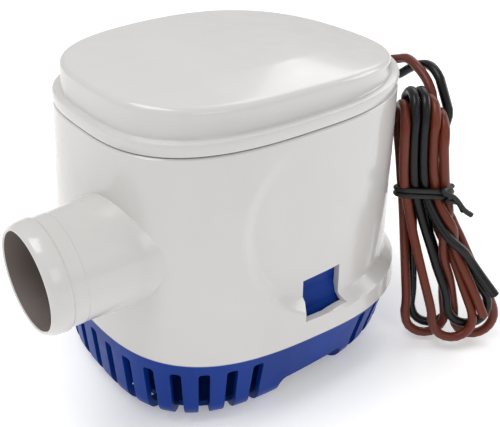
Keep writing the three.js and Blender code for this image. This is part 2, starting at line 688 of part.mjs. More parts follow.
addPiece("motor_shaft", cylinder(SHAFT_RADIUS, 29.5, 87, MOTOR.x, MOTOR.y, 20), "steel");
addPiece("armature_core", armatureCore(), "darkSteel");
addPiece("winding_lower", onShaft(10, 49.4, 51.7), "copper");
addPiece("winding_upper", onShaft(10, 71.3, 74.5), "copper");
addPiece("commutator", onShaft(5, 75.5, 81.5), "copper");
addPiece("impeller", impeller(), "blue");

const { x: floatX, y: floatY, lowZ: floatLow, height: floatHeight } = FLOAT;
const floatTop = floatLow + floatHeight;
const slip = FLOAT.stem + 0.6; // bore radius of the pieces that slide on the stem
addPiece("float_stem", floatStem(), "greyPlastic");
addPiece("stem_clip", ring(5, FLOAT.stem + GAP, 28, floatLow - GAP, floatX, floatY), "steel");
addPiece("float_ring", ring(FLOAT.radius, slip, floatLow, floatTop, floatX, floatY), "foam");
addPiece("float_magnet", ring(5.5, slip, floatTop + GAP, floatTop + 3, floatX, floatY), "darkSteel");
addPiece("reed_switch", cylinder(1.2, 52, 66, floatX, floatY, 16), "carbon");
addPiece("control_board", box([31, -16, 86], [33, 10, 90]), "board");

addPiece("cable_gland", cableGland(), "rubber");
for (const [name, points] of Object.entries(LEADS)) {
  const look = name === "wire_black_lead" ? "blackWire" : "brownWire";
  addPiece(name, sweep(circleShape(WIRE_RADIUS), points, 16, 4), look);
}
addPiece("wire_hank", hankSolid(0), "brownWire");
addPiece("cable_tie", cableTie(), "rubber");

export default pump;
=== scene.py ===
import json
import math

import bmesh
import bpy
import numpy as np
from mathutils import Matrix, Vector


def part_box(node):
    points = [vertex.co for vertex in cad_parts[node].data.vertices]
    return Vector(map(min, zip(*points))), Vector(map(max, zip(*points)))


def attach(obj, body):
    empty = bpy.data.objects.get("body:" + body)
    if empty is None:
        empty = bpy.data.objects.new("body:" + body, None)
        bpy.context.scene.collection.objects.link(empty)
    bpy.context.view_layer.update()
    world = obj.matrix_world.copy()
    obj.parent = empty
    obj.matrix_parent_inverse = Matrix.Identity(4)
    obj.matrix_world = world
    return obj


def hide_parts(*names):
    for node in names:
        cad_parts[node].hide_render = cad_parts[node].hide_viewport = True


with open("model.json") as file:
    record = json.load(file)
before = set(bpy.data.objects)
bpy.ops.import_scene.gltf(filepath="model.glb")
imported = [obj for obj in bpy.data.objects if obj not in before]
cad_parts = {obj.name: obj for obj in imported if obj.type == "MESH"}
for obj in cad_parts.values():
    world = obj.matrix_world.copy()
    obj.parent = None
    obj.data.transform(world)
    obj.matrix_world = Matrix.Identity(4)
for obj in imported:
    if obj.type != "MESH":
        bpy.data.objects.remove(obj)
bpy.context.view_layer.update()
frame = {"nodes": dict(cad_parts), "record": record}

MM = 0.001
PUMP = "pump"
STRAINER = "strainer"

# ---- Driving dimensions in millimetres ----
# They repeat the part's, but the skirt is a hair narrower and the recess shallower with a narrower bevel.
NOSE_EXPONENT, TAIL_EXPONENT, TAPER = 3.0, 2.43, 0.03
CAP_LENGTH, CAP_WIDTH, SEAM_Z, RIM_TOP_Z = 50.8, 38.5, 87.2, 90.9
LID_INSET = 2.3
SKIRT_LENGTH, SKIRT_WIDTH, SKIRT_Z, SKIRT_SLOPE = 54.1, 44.96, 23.4, -0.07
WALL, GAP = 2.0, 0.3
RECESS_X, RECESS_Z, RECESS_REACH, RECESS_DROP, RECESS_RISE = 14.0, 62.0, 37.0, 31.0, 27.0
RECESS_BEVEL, RECESS_GROW_X, RECESS_GROW_Y = 0.1, 1.3, 2.0
BASE_LENGTH, BASE_WIDTH, BASE_TOP_LENGTH, BASE_TOP_WIDTH, BASE_ROUND = 51.9, 40.9, 53.2, 44.1, 9.0
SLOT_WIDTH, SLOT_PITCH, SLOT_TOP_Z, SLOT_SLOPE, SLOT_INWARD = 3.3, 8.3, 20.5, -0.03, 8.5
ARCH_X, ARCH_HALF, ARCH_Z, PANEL_Y = -0.3, 12.7, 8.5, 20.0
LATCH_X, LATCH_WIDTH, LATCH_LOW, LATCH_HIGH = 2.0, 15.0, 30.2, 41.3
NOZZLE_X, NOZZLE_Y, NOZZLE_Z, NOZZLE_RADIUS, NOZZLE_BORE = -75.0, -12.1, 56.0, 15.0, 13.4
NOZZLE_ROOT_X, NOZZLE_ROOT_RADIUS, NOZZLE_BLEND, NOZZLE_END_X = -51.0, 16.1, 2.1, -43.2
GLAND_HOLE = 4.2
AROUND = 384  # points round a fine plan outline
ON_AXIS = 0.01  # radius that closes a turned outline on its axis


# ---- Camera ----
def make_camera():
    azimuth, elevation, roll = math.radians(-38.1), math.radians(29.55), math.radians(0.51)
    back = Vector((
        math.sin(azimuth) * math.cos(elevation),
        -math.cos(azimuth) * math.cos(elevation),
        math.sin(elevation),
    ))
    right = (-back).cross(Vector((0, 0, 1))).normalized()
    up = right.cross(-back)
    turned_right = math.cos(roll) * right + math.sin(roll) * up
    turned_up = -math.sin(roll) * right + math.cos(roll) * up
    data = bpy.data.cameras.new("camera")
    data.sensor_width = 36.0
    data.lens = 54.76
    data.shift_x = 0.0337
    data.shift_y = -0.0547
    camera = bpy.data.objects.new("camera", data)
    bpy.context.scene.collection.objects.link(camera)
    spin = Matrix((turned_right, turned_up, back)).transposed()
    target = Vector((0.07, -0.06, 52.5)) * MM
    camera.matrix_world = Matrix.Translation(target + back * 240.5 * MM) @ spin.to_4x4()
    bpy.context.scene.camera = camera


# ---- Materials ----
def new_material(name):
    material = bpy.data.materials.new(name)
    material.use_nodes = True
    nodes = material.node_tree.nodes
    return material, nodes, material.node_tree.links, nodes["Principled BSDF"]


def noise_node(nodes, links, scale, detail, roughness, stretch=None):
    place = nodes.new("ShaderNodeTexCoord")
    noise = nodes.new("ShaderNodeTexNoise")
    noise.inputs["Scale"].default_value = scale
    noise.inputs["Detail"].default_value = detail
    noise.inputs["Roughness"].default_value = roughness
    source = place.outputs["Object"]
    if stretch:
        mapping = nodes.new("ShaderNodeMapping")
        mapping.inputs["Scale"].default_value = stretch
        links.new(source, mapping.inputs["Vector"])
        source = mapping.outputs["Vector"]
    links.new(source, noise.inputs["Vector"])
    return noise


def mapped(nodes, links, source, low, high):
    """A noise's usual range, stretched to run from low to high."""
    node = nodes.new("ShaderNodeMapRange")
    node.inputs["From Min"].default_value = 0.3
    node.inputs["From Max"].default_value = 0.7
    node.inputs["To Min"].default_value = low
    node.inputs["To Max"].default_value = high
    links.new(source, node.inputs["Value"])
    return node.outputs["Result"]


def plastic(name, dark, light, gloss, grain=0.03, coat=0.0, grain_scale=2600.0, subsurface=0.0, shine=0.5):
    """Moulded plastic: faint flow marks in colour and gloss, and a very fine skin texture."""
    material, nodes, links, shader = new_material(name)
    flow = noise_node(nodes, links, 38.0, 5.0, 0.55, (1.0, 1.0, 0.45))
    mix = nodes.new("ShaderNodeMix")
    mix.data_type = "RGBA"
    mix.inputs["A"].default_value = (*dark, 1)
    mix.inputs["B"].default_value = (*light, 1)
    links.new(mapped(nodes, links, flow.outputs["Fac"], 0.0, 1.0), mix.inputs["Factor"])
    links.new(mix.outputs["Result"], shader.inputs["Base Color"])
    smear = noise_node(nodes, links, 160.0, 6.0, 0.6)
    links.new(mapped(nodes, links, smear.outputs["Fac"], gloss[0], gloss[1]), shader.inputs["Roughness"])
    fine = noise_node(nodes, links, grain_scale, 2.0, 0.5)
    wave = noise_node(nodes, links, 90.0, 2.0, 0.4)
    total = nodes.new("ShaderNodeMath")
    total.operation = "MULTIPLY_ADD"
    total.inputs[1].default_value = 0.12
    links.new(fine.outputs["Fac"], total.inputs[0])
    links.new(wave.outputs["Fac"], total.inputs[2])
    bump = nodes.new("ShaderNodeBump")
    bump.inputs["Strength"].default_value = grain
    bump.inputs["Distance"].default_value = 0.0004
    links.new(total.outputs["Value"], bump.inputs["Height"])
    links.new(bump.outputs["Normal"], shader.inputs["Normal"])
    shader.inputs["IOR"].default_value = 1.49
    shader.inputs["Specular IOR Level"].default_value = shine
    shader.inputs["Coat Weight"].default_value = coat
    shader.inputs["Coat Roughness"].default_value = 0.08
    if subsurface:
        shader.inputs["Subsurface Weight"].default_value = subsurface
        shader.inputs["Subsurface Radius"].default_value = (1.0, 0.85, 0.7)
        shader.inputs["Subsurface Scale"].default_value = 0.002
    return material


def metal(name, colour, gloss):
    """Drawn or turned metal with fine lines across its length."""
    material, nodes, links, shader = new_material(name)
    lines = noise_node(nodes, links, 900.0, 3.0, 0.6, (1.0, 1.0, 30.0))
    mix = nodes.new("ShaderNodeMix")
    mix.data_type = "RGBA"
    mix.inputs["A"].default_value = (*[c * 0.8 for c in colour], 1)
    mix.inputs["B"].default_value = (*colour, 1)
    links.new(mapped(nodes, links, lines.outputs["Fac"], 0.0, 1.0), mix.inputs["Factor"])
    links.new(mix.outputs["Result"], shader.inputs["Base Color"])
    links.new(mapped(nodes, links, lines.outputs["Fac"], gloss[0], gloss[1]), shader.inputs["Roughness"])
    bump = nodes.new("ShaderNodeBump")
    bump.inputs["Strength"].default_value = 0.06
    bump.inputs["Distance"].default_value = 0.0001
    links.new(lines.outputs["Fac"], bump.inputs["Height"])
    links.new(bump.outputs["Normal"], shader.inputs["Normal"])
    shader.inputs["Metallic"].default_value = 1.0
    return material


WHITE = plastic(
    "white_gloss", (0.615, 0.6, 0.585), (0.65, 0.635, 0.62), (0.15, 0.26), 0.02, 0.3, subsurface=0.03,
)
# Dark taupe, painted shade for the outlet's unlit bore
PAINTED_BORE_SHADE = plastic("bore_shade", (0.16, 0.13, 0.12), (0.22, 0.185, 0.17), (0.35, 0.5), 0.05)
BLUE = plastic("base_blue", (0.0012, 0.026, 0.2), (0.002, 0.038, 0.28), (0.3, 0.42), 0.012, shine=0.12)
GREY = plastic("inner_grey", (0.42, 0.42, 0.43), (0.5, 0.5, 0.5), (0.4, 0.55), 0.05)
RUBBER = plastic("black_rubber", (0.004, 0.004, 0.004), (0.008, 0.008, 0.008), (0.4, 0.6), 0.08)
CARBON = plastic("carbon", (0.02, 0.02, 0.02), (0.04, 0.04, 0.04), (0.6, 0.8), 0.2)
FOAM = plastic("float_foam", (0.6, 0.46, 0.2), (0.72, 0.56, 0.28), (0.8, 0.95), 0.6, grain_scale=900.0)
BOARD = plastic("circuit_board", (0.01, 0.12, 0.05), (0.02, 0.2, 0.08), (0.3, 0.4), 0.05)
WIRE_BLACK = plastic(
    "wire_black", (0.0015, 0.0015, 0.002), (0.004, 0.004, 0.005), (0.24, 0.36), 0.03, shine=0.35,
)
WIRE_BROWN = plastic(
    "wire_brown", (0.10, 0.017, 0.007), (0.15, 0.026, 0.010), (0.25, 0.4), 0.03, shine=0.35,
)
STEEL = metal("steel", (0.62, 0.63, 0.65), (0.25, 0.4))
DARK_METAL = metal("dark_metal", (0.16, 0.16, 0.17), (0.4, 0.6))
COPPER = metal("copper", (0.75, 0.33, 0.17), (0.25, 0.4))
SLOT_MATERIALS = {
    "housing_white": WHITE,
    "base_blue": BLUE,
    "inner_plastic": GREY,
    "steel": STEEL,
    "dark_metal": DARK_METAL,
    "copper": COPPER,
    "carbon": CARBON,
    "black_rubber": RUBBER,
    "float_foam": FOAM,
    "circuit_board": BOARD,
    "wire_black": WIRE_BLACK,
    "wire_brown": WIRE_BROWN,
}


# ---- Mesh helpers, all in millimetres ----
def plan_points(half_length, half_width, count=AROUND):
    """The plan outline as two arrays, x and y."""
    angle = np.linspace(0, 2 * np.pi, count, endpoint=False)
    c, s = np.cos(angle), np.sin(angle)
    n = np.where(c < 0, NOSE_EXPONENT, TAIL_EXPONENT)
    r = (np.abs(c) ** n + np.abs(s) ** n) ** (-1 / n)
    x = half_length * r * c
    y = half_width * r * s * (1 + TAPER * r * c)
    return x, y


def plan_ring(half_length, half_width, z):
    """A ring of points on the outline, at one height or at a height worked out from x and y."""
    x, y = plan_points(half_length, half_width)
    height = z(x, y) if callable(z) else np.full_like(x, z)
    return np.stack([x, y, height], axis=1)


def link_mesh(name, mesh):
    made = bpy.data.objects.new(name, mesh)
    bpy.context.scene.collection.objects.link(made)
    return made


def mesh_object(name, points, faces, material):
    mesh = bpy.data.meshes.new(name)
    mesh.from_pydata([tuple(p) for p in np.asarray(points) * MM], [], faces)
    work = bmesh.new()
    work.from_mesh(mesh)
    bmesh.ops.recalc_face_normals(work, faces=work.faces)
    work.to_mesh(mesh)
    work.free()
    mesh.materials.append(material)
    return link_mesh(name, mesh)


def skin(name, rings, material, close=False):
    """Rings of equal length joined by quads. Closed, the last joins the first, else both ends are capped."""
    count = len(rings[0])
    around = np.arange(count)
    after = (around + 1) % count
    steps = len(rings) if close else len(rings) - 1
    faces = []
    for k in range(steps):
        low, high = k * count, ((k + 1) % len(rings)) * count
        faces += [(low + i, low + j, high + j, high + i) for i, j in zip(around.tolist(), after.tolist())]
    if not close:
        top = (len(rings) - 1) * count
        faces += [tuple(range(count - 1, -1, -1)), tuple(range(top, top + count))]
    return mesh_object(name, np.concatenate(rings), faces, material)


def turned(name, profile, axis_y, axis_z, material, count=128):
    """A closed profile of (along x, radius) points turned about the X axis through (axis_y, axis_z)."""
    angle = np.linspace(0, 2 * np.pi, count, endpoint=False)
    rings = []
    for along, radius in profile:
        rings.append(np.stack([
            np.full(count, along),
            axis_y + radius * np.cos(angle),
            axis_z + radius * np.sin(angle),
        ], axis=1))
    return skin(name, rings, material, close=True)


def block(name, low, high, material, bevel=0.0):
    """A box between two corners, its edges rounded where a bevel is given."""
    low, high = np.array(low, float), np.array(high, float)
    mesh = bpy.data.meshes.new(name)
    work = bmesh.new()
    bmesh.ops.create_cube(work, size=1.0)
    bmesh.ops.scale(work, vec=Vector((high - low) * MM), verts=work.verts)
    bmesh.ops.translate(work, vec=Vector((high + low) / 2 * MM), verts=work.verts)
    if bevel:
        bmesh.ops.bevel(work, geom=work.edges[:], offset=bevel * MM, segments=3, profile=0.5, affect="EDGES")
    work.to_mesh(mesh)
    work.free()
    mesh.materials.append(material)
    return link_mesh(name, mesh)


def combine(target, tools, operation):
    """Applies a boolean with each tool in turn and deletes the tools."""
    for tool in tools:
        cut = target.modifiers.new(operation.lower(), "BOOLEAN")
        cut.operation = operation
        cut.solver = "MANIFOLD"
        cut.object = tool
        graph = bpy.context.evaluated_depsgraph_get()
        result = bpy.data.meshes.new_from_object(target.evaluated_get(graph))
        target.modifiers.clear()
        target.data = result
        bpy.data.objects.remove(tool)


def join(name, objects):
    """One mesh object of several, which may overlap."""
    work = bmesh.new()
    for part in objects:
        work.from_mesh(part.data)
    mesh = bpy.data.meshes.new(name)
    work.to_mesh(mesh)
    work.free()
    for material in objects[0].data.materials:
        mesh.materials.append(material)
    for part in objects:
        bpy.data.objects.remove(part)
    return link_mesh(name, mesh)


def smooth(target, degrees):
    """Smooth shading, with edges sharper than the angle kept crisp."""
    target.data.shade_smooth()
    target.data.set_sharp_from_angle(angle=math.radians(degrees))


# ---- Lead: two wires arch from the gland to a tied hank that leans on the pump ----
WIRE = 3.0  # outside diameter of one wire
GLAND_END = 58.5
HELD_POINTS = 20  # the arch, from the gland, stays where it is laid
SPACE = 0.12  # left between two wires
FLOOR_SPACE, WALL_SPACE = 0.2, 0.5  # left under the wires and beside the housing
ARCHES = {
    "wire_black": [
        (GLAND_END + 0.3, 4, 75.9), (60.5, 4, 75.9), (63.4, -2.5, 75.6), (64.4, -8, 77.6),
        (64.2, -12, 80.8), (63.6, -16.6, 83.8), (62, -22.6, 85.4), (60.4, -27.9, 83.1), (58.6, -31.9, 79),
        (57.2, -34.1, 72.9),
    ],
    "wire_brown": [
        (GLAND_END + 0.3, 4, 79.7), (60.5, 4, 79.7), (62.6, -2, 81.4), (62.6, -8.3, 83.6),
        (61.3, -13.2, 85.5), (59.4, -18.3, 85.3), (58, -24.5, 82.6), (56.6, -28.9, 78.6), (55.4, -32.2, 72.7),
    ],
}
# The hank lies in a plane that leans back: u runs across it, v up it and w out of it towards the front.
HANK_FOOT = np.array([54.0, -56.5, 3.0])
HANK_U = np.array([0.79, -0.614, 0.0])
HANK_U /= np.linalg.norm(HANK_U)
HANK_V = np.array([0.155, 0.192, 0.97])
HANK_V -= HANK_U * (HANK_U @ HANK_V)
HANK_V /= np.linalg.norm(HANK_V)
HANK_W = np.cross(HANK_U, HANK_V)
TIE_U, TIE_V, TIE_RADIUS = -16.6, 49.5, 0.85
PITCH = WIRE + 0.1
LAYER = PITCH * math.sqrt(3) / 2
# Places of the strands inside the tie: column to the right of its middle, layer towards the front.
SLOTS = {
    **{"F" + str(i + 1): ((i - 2) * PITCH, LAYER) for i in range(5)},
    **{"M" + str(i + 1): ((i - 1.5) * PITCH, 0) for i in range(4)},
    **{"B" + str(i + 1): ((i - 2) * PITCH, -LAYER) for i in range(5)},
}
# Upper folds turn from front to back: place across and height of each.
TOPS = {
    "t1": (-25, 77.5), "t2": (-22.6, 81.5), "t3": (-19.4, 81.5), "t4": (-16.3, 79.5), "t5": (-13.4, 75),
}
# Lower folds fan out: left and right side, foot and place towards the front of each.
FEET = {
    "left": (-18.4, -6, -0.6, -1), "middle": (-11.4, 1.4, 0.6, 5), "right": (-4.6, 10.4, -0.6, -1),
    "inner_left": (-16, -4, 1.4, -4.5), "inner_right": (-4.8, 6.8, 4, 2.2),
}
# The order in which each wire runs through the strands and folds. Its bare end comes last.
# An arrow says which way it crosses a lower fold.
COURSES = {
    "wire_brown": [
        "M4", "<right", "F5", "t5", "B5", "<left", "B1", "t1", "F1", ">middle", "B4", "t4", "F4",
        (4.6, 8.3, 6),
    ],
    "wire_black": ["M3", "<inner_right", "F2", "t2", "B2", ">inner_left", "B3", "t3", "F3", (7.6, 16, 6.6)],
}
FOLD_RADIUS = 6.6
FOLD_STEPS = 6
BEND = 6.6  # tightest bend that the settling allows


def in_plane(u, v, w):
    return HANK_FOOT + HANK_U * u + HANK_V * v + HANK_W * w


def course_points(course):
    """The hank's control points of one wire, from where its arch comes down to its bare end."""
    points = []
    for k, step in enumerate(course):
        if step in SLOTS:
            across, out = SLOTS[step]
            points.append(in_plane(TIE_U + across, TIE_V, out))
        elif step in TOPS:
            across, height = TOPS[step]
            front = 1 if course[k - 1][0] == "F" else -1
            for part in range(FOLD_STEPS + 1):
                angle = math.pi * part / FOLD_STEPS
                points.append(in_plane(
                    across, height - FOLD_RADIUS + FOLD_RADIUS * math.sin(angle),
                    front * FOLD_RADIUS * math.cos(angle),
                ))
        elif isinstance(step, str):
            left, right, foot, out = FEET[step[1:]]
            towards = 1 if step[0] == ">" else -1
            half = (right - left) / 2
            for part in range(FOLD_STEPS + 1):
                angle = math.pi * part / FOLD_STEPS
                points.append(in_plane(
                    (left + right) / 2 - towards * half * math.cos(angle),
                    foot + half * (1 - math.sin(angle)), out,
                ))
        else:
            points.append(in_plane(*step))
    return points


def even_route(points, spacing):
    """A smooth centripetal curve through the points, cut into equal steps."""
    points = np.array(points, float)
    padded = np.vstack([2 * points[0] - points[1], points, 2 * points[-1] - points[-2]])
    knots = np.concatenate([[0], np.cumsum(np.sqrt(np.linalg.norm(np.diff(padded, axis=0), axis=1)))])
    curve = [points[0]]
    for i in range(1, len(points)):
        k = knots[i - 1:i + 3]
        p = padded[i - 1:i + 3]
        t = np.linspace(k[1], k[2], 17)[1:, None]
        near = [((k[j + 1] - t) * p[j] + (t - k[j]) * p[j + 1]) / (k[j + 1] - k[j]) for j in range(3)]
        wide = [((k[j + 2] - t) * near[j] + (t - k[j]) * near[j + 1]) / (k[j + 2] - k[j]) for j in range(2)]
        curve.extend(((k[2] - t) * wide[0] + (t - k[1]) * wide[1]) / (k[2] - k[1]))
    return even_steps(np.array(curve), spacing)


def even_steps(curve, spacing):
    run = np.concatenate([[0], np.cumsum(np.linalg.norm(np.diff(curve, axis=0), axis=1))])
    places = np.linspace(0, run[-1], max(2, round(run[-1] / spacing)) + 1)
    return np.stack([np.interp(places, run, curve[:, k]) for k in range(3)], axis=1)


def wall_gauge(points, grow):
    """Below 1 inside the housing grown by that much, at each point's own height."""
    x, y, z = points.T
    share = np.clip((SEAM_Z - z) / (SEAM_Z - SKIRT_Z), 0, 1)
    a = CAP_LENGTH + (SKIRT_LENGTH - CAP_LENGTH) * share + grow
    b = (CAP_WIDTH + (SKIRT_WIDTH - CAP_WIDTH) * share + grow) * (1 + TAPER * x / a)
    n = np.where(x < 0, NOSE_EXPONENT, TAIL_EXPONENT)
    return (np.abs(x / a) ** n + np.abs(y / b) ** n) ** (1 / n)


def settle(routes, fixed, rounds=260):
    """Pushes the wires a diameter apart, off the wall and the floor, and keeps their steps and bends even."""
    owner = np.concatenate([np.full(len(r), k) for k, r in enumerate(routes)])
    place = np.concatenate([np.arange(len(r)) for r in routes])
    points = np.concatenate(routes)
    held = np.concatenate(fixed)
    start = points.copy()
    step = float(np.median(np.linalg.norm(np.diff(routes[0], axis=0), axis=1)))
    linked = np.nonzero(owner[:-1] == owner[1:])[0]
    inner = np.nonzero(owner[:-2] == owner[2:])[0] + 1
    inner = inner[~held[inner]]
    free = (~held).astype(float)[:, None]
    same = (owner[:, None] == owner[None, :]) & (np.abs(place[:, None] - place[None, :]) < 3.2 * WIRE / step)
    upper = np.triu(np.ones_like(same), 1) & ~same
    for _ in range(rounds):
        gap = points[:, None, :] - points[None, :, :]
        far = np.sqrt((gap ** 2).sum(2))
        near_i, near_j = np.nonzero(upper & (far < WIRE + SPACE))
        if len(near_i):
            apart = far[near_i, near_j]
            amount = (WIRE + SPACE - apart) / np.maximum(apart, 1e-6) * 0.35
            push = gap[near_i, near_j] * amount[:, None]
            move = np.zeros_like(points)
            np.add.at(move, near_i, push)
            np.add.at(move, near_j, -push)
            points += move * free
        points[inner] += ((points[inner - 1] + points[inner + 1]) / 2 - points[inner]) * 0.015
        for reach in (2, 4, 6):
            a = np.nonzero(owner[:-2 * reach] == owner[2 * reach:])[0]
            b = a + 2 * reach
            chord = 2 * BEND * math.sin(min(reach * step / BEND, math.pi / 2))
            link = points[b] - points[a]
            long = np.linalg.norm(link, axis=1)[:, None]
            fix = link / np.maximum(long, 1e-6) * np.maximum(chord - long, 0) * 0.2
            np.add.at(points, a, -fix * free[a])
            np.add.at(points, b, fix * free[b])
        for parity in (0, 1) * 4:
            a = linked[parity::2]
            b = a + 1
            link = points[b] - points[a]
            long = np.linalg.norm(link, axis=1)[:, None]
            fix = link / np.maximum(long, 1e-6) * (long - step) * 0.5
            np.add.at(points, a, fix * free[a])
            np.add.at(points, b, -fix * free[b])
        points[:, 2] = np.maximum(points[:, 2], WIRE / 2 + FLOOR_SPACE)
        gauge = wall_gauge(points, WIRE / 2 + WALL_SPACE)
        inside = (gauge < 1) & ~held
        points[inside, :2] += (points[inside, :2] / np.linalg.norm(points[inside, :2], axis=1)[:, None]
                               * (1 / gauge[inside] - 1)[:, None] * 30)
        points[held] = start[held]
    cuts = np.cumsum([len(r) for r in routes])[:-1]
    return np.split(points, cuts)


def wire_routes():
    step = 2.0
    routes, fixed = [], []
    for name in ARCHES:
        route = even_route(ARCHES[name] + course_points(COURSES[name]), step)
        arch = np.arange(len(route)) < HELD_POINTS
        tied = np.abs((route - HANK_FOOT) @ HANK_V - TIE_V) < 1.2
        routes.append(route)
        fixed.append(arch | tied)
    return dict(zip(ARCHES, settle(routes, fixed)))


def round_curve(name, routes, radius, resolution, material):
    """A curve object with one spline for each route, filled out to a radius."""
    curve = bpy.data.curves.new(name, "CURVE")
    curve.dimensions = "3D"
    curve.bevel_depth = radius * MM
    curve.bevel_resolution = resolution
    curve.use_fill_caps = True
    for route in routes:
        spline = curve.splines.new("POLY")
        spline.points.add(len(route) - 1)
        for place, point in zip(spline.points, route * MM):
            place.co = (*point, 1)
        spline.use_smooth = True
    curve.materials.append(material)
    made = bpy.data.objects.new(name, curve)
    bpy.context.scene.collection.objects.link(made)
    return made


def add_cords():
    """One curve for each wire, with a cut face of copper strands at its bare end."""
    finish = {"wire_black": WIRE_BLACK, "wire_brown": WIRE_BROWN}
    hidden = {"wire_black": ["wire_black_lead"], "wire_brown": ["wire_brown_lead", "wire_hank"]}
    for name, route in wire_routes().items():
        wire = round_curve(name, [route], WIRE / 2, 6, finish[name])
        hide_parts(*hidden[name])
        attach(wire, PUMP)
        core = copper_core(name + "_core", route)


def copper_core(name, route):
    """Seven copper strands that show in the wire's cut end."""
    end = route[-1]
    along = (route[-1] - route[-2]) / np.linalg.norm(route[-1] - route[-2])
    side = np.cross(along, (0, 0, 1.0))
    side /= np.linalg.norm(side)
    other = np.cross(along, side)
    strands = []
    for k in range(7):
        angle = k * math.pi / 3
        shift = np.zeros(3) if k == 6 else 0.42 * (side * math.cos(angle) + other * math.sin(angle))
        rings = []
        for ahead in (-0.5, 0.5):
            turn = np.linspace(0, 2 * np.pi, 12, endpoint=False)[:, None]
            rings.append(end + shift + along * ahead + 0.2 * (side * np.cos(turn) + other * np.sin(turn)))
        strands.append(skin(name, rings, COPPER))
    core = join(name, strands)
    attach(core, PUMP)
    return core


def add_tie():
    """A black tie wound twice round the hank's waist, its two tails sticking out to the right."""
    waist = []
    clear = WIRE / 2 + TIE_RADIUS + 0.05
    half_across, half_out = 2 * PITCH + clear, LAYER + clear
    for part in np.linspace(0, 1, 97):
        angle = math.pi * (0.1 + 4 * part)
        squareness = (abs(math.cos(angle)) ** 3 + abs(math.sin(angle)) ** 3) ** (-1 / 3)
        rise = 2 * TIE_RADIUS * (2 * part - 1) + 0.8 * math.sin(angle)
        waist.append(in_plane(
            TIE_U + half_across * squareness * math.cos(angle), TIE_V + rise,
            half_out * squareness * math.sin(angle),
        ))
    tails = [
        [waist[-1], in_plane(TIE_U + 4.4, TIE_V + 1.4, 6.6), in_plane(TIE_U + 8.2, TIE_V - 0.6, 6.4),
         in_plane(TIE_U + 11.6, TIE_V - 4.6, 6), in_plane(TIE_U + 14.2, TIE_V - 6.4, 5.6)],
        [waist[0], in_plane(TIE_U + 6, TIE_V - 1.8, 6.2), in_plane(TIE_U + 9.6, TIE_V - 2.4, 5.2),
         in_plane(TIE_U + 11.8, TIE_V - 5.4, 4.4)],
    ]
    routes = [np.array(waist)] + [even_route(tail, 0.6) for tail in tails]
    tie = round_curve("wire_tie", routes, TIE_RADIUS, 5, RUBBER)
    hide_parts("cable_tie")
    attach(tie, PUMP)


# ---- Housing ----
def skirt_z(x):
    return SKIRT_Z + SKIRT_SLOPE * x


def recess_depth(x, z):
    """0 outside the side recess, 1 on its floor, with a plain bevel between."""
    across = np.minimum(x - RECESS_X, 0) / RECESS_REACH
    along = (z - RECESS_Z) / np.where(z < RECESS_Z, RECESS_DROP, RECESS_RISE)
    return np.clip((1 + RECESS_BEVEL - np.hypot(across, along)) / RECESS_BEVEL, 0, 1)


def wall_ring(fraction, inset):
    """A ring of the housing wall, from the seam at 0 to the skirt's edge at 1."""
    flare_x, flare_y = SKIRT_LENGTH - CAP_LENGTH, SKIRT_WIDTH - CAP_WIDTH
    x, _ = plan_points(CAP_LENGTH + flare_x * fraction, CAP_WIDTH + flare_y * fraction)
    z = SEAM_Z + (skirt_z(x) - SEAM_Z) * fraction
    depth = recess_depth(x, z)
    length = CAP_LENGTH + (flare_x + (RECESS_GROW_X - flare_x) * depth) * fraction - inset
    width = CAP_WIDTH + (flare_y + (RECESS_GROW_Y - flare_y) * depth) * fraction - inset
    x, y = plan_points(length, width)
    return np.stack([x, y, z], axis=1)


def wall_front_x(y, z):
    """X of the middle of the wall's thickness on the outlet's side, at a height and a distance across."""
    fraction = (SEAM_Z - z) / (SEAM_Z - SKIRT_Z)
    length = CAP_LENGTH + (SKIRT_LENGTH - CAP_LENGTH) * fraction - WALL / 2
    width = CAP_WIDTH + (SKIRT_WIDTH - CAP_WIDTH) * fraction - WALL / 2
    low, high = -length, 0.0
    for _ in range(24):
        x = (low + high) / 2
        across = abs(y) / (width * (1 + TAPER * x / length))
        outside = abs(x / length) ** NOSE_EXPONENT + across ** NOSE_EXPONENT > 1
        low, high = (x, high) if outside else (low, x)
    return low


def end_inside_wall(spigot):
    """Moves the spigot's inner points back to the middle of the wall, so that nothing shows inside."""
    for point in spigot.data.vertices:
        x, y, z = point.co / MM
        if x > NOZZLE_ROOT_X - 5:
            point.co.x = min(x, wall_front_x(y, z)) * MM


def spigot_solid():
    """The hose spigot, turned about its own axis: its root blends into the wall and its end has a barb."""
    end = NOZZLE_END_X + 1
    outline = [(NOZZLE_X, ON_AXIS), (end, ON_AXIS), (end, NOZZLE_ROOT_RADIUS + NOZZLE_BLEND * 1.2)]
    for part in np.linspace(0, 1, 14):
        along = NOZZLE_END_X + (NOZZLE_ROOT_X - NOZZLE_END_X) * part
        outline.append((along, NOZZLE_ROOT_RADIUS + NOZZLE_BLEND * (1 - part) ** 2))
    for part in np.linspace(0.15, 1, 8):
        along = NOZZLE_ROOT_X + (NOZZLE_X + 10.4 - NOZZLE_ROOT_X) * part
        outline.append((along, NOZZLE_ROOT_RADIUS + (NOZZLE_RADIUS + 0.02 - NOZZLE_ROOT_RADIUS) * part))
    # A fine line, the barb and the rounded mouth: distance from the mouth and growth of the radius.
    steps = (
        (9.9, 0), (9.6, 0.16), (9.1, 0.12), (6.0, -0.05), (5.7, 0.1), (5.4, 0.42), (5.0, 0.5), (1.9, 0.1),
        (1.0, -0.25), (0.35, -0.62), (0, -1.05),
    )
    outline += [(NOZZLE_X + along, NOZZLE_RADIUS + growth) for along, growth in steps]
    spigot = turned("spigot", outline, NOZZLE_Y, NOZZLE_Z, WHITE)
    end_inside_wall(spigot)
    return spigot


